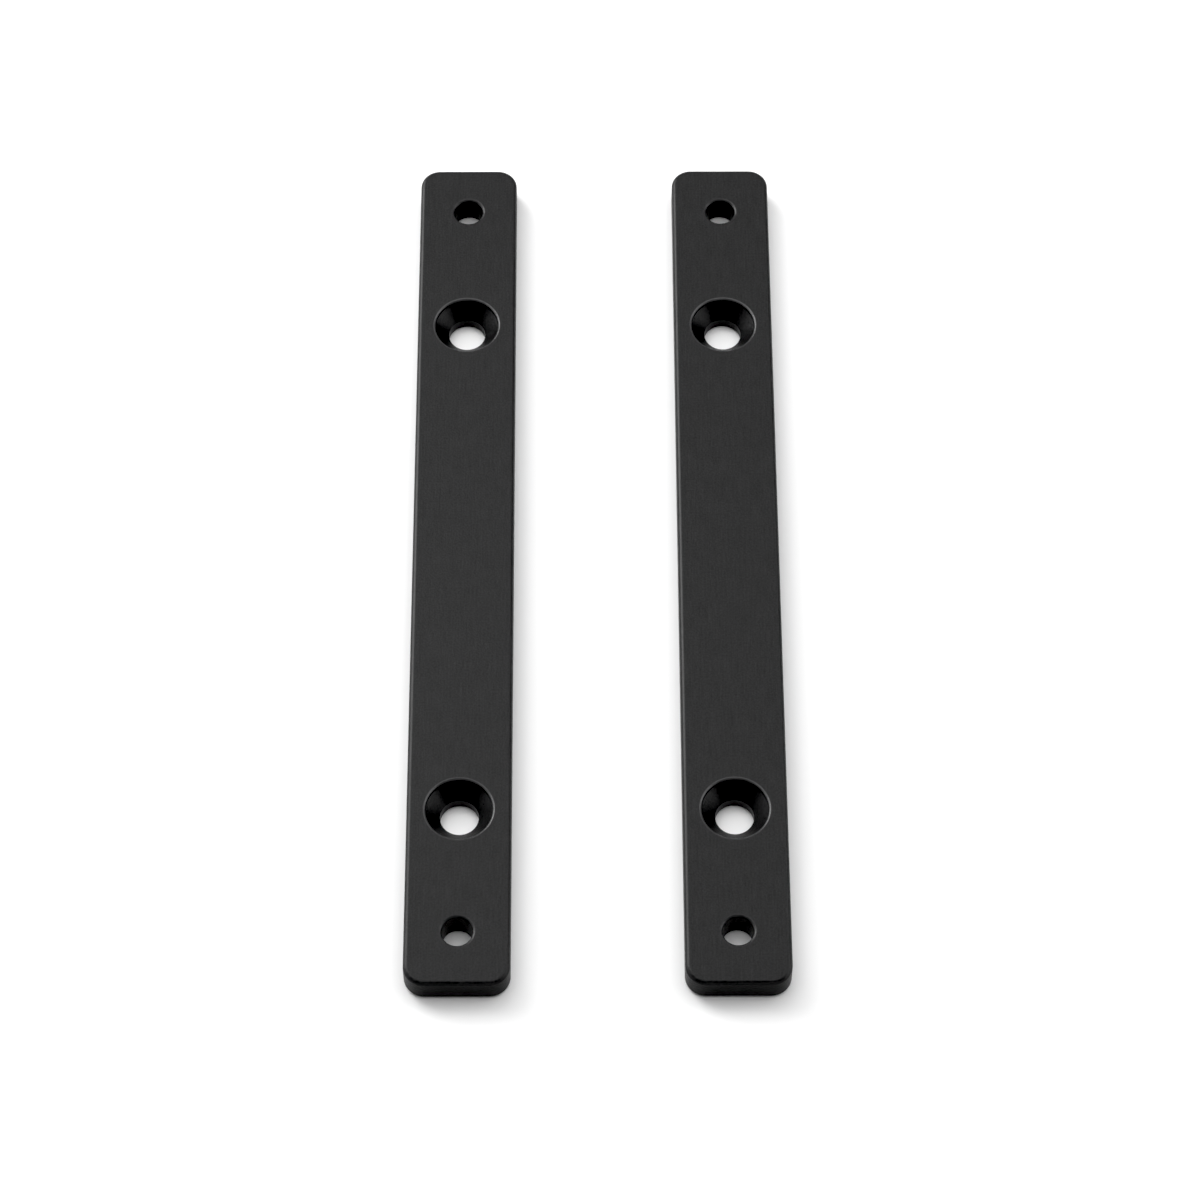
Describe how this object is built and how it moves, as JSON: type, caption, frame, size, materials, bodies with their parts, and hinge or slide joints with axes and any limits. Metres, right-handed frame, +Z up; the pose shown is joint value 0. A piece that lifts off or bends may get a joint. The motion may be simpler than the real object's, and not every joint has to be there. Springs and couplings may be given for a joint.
{
  "type": "splitboard mounting bar pair",
  "caption": "Flat black mounting bars with rounded corners, side by side, each with sunk countersunk screw holes and small plain end holes along its centre line.",
  "frame": {"origin": "on the underside plane, midway between the two bars and midway along them", "axes": "+Y along the bars towards their far ends, +X from the left bar to the right bar, +Z up out of the countersunk faces"},
  "size_m": [0.0724, 0.19, 0.006],
  "materials": {
    "anodised_bar": "matte black anodised, fine bead-blasted grain"
  },
  "bodies": {
    "root": {"mounting_bar_left": "anodised_bar", "mounting_bar_right": "anodised_bar"}
  },
  "joints": []
}
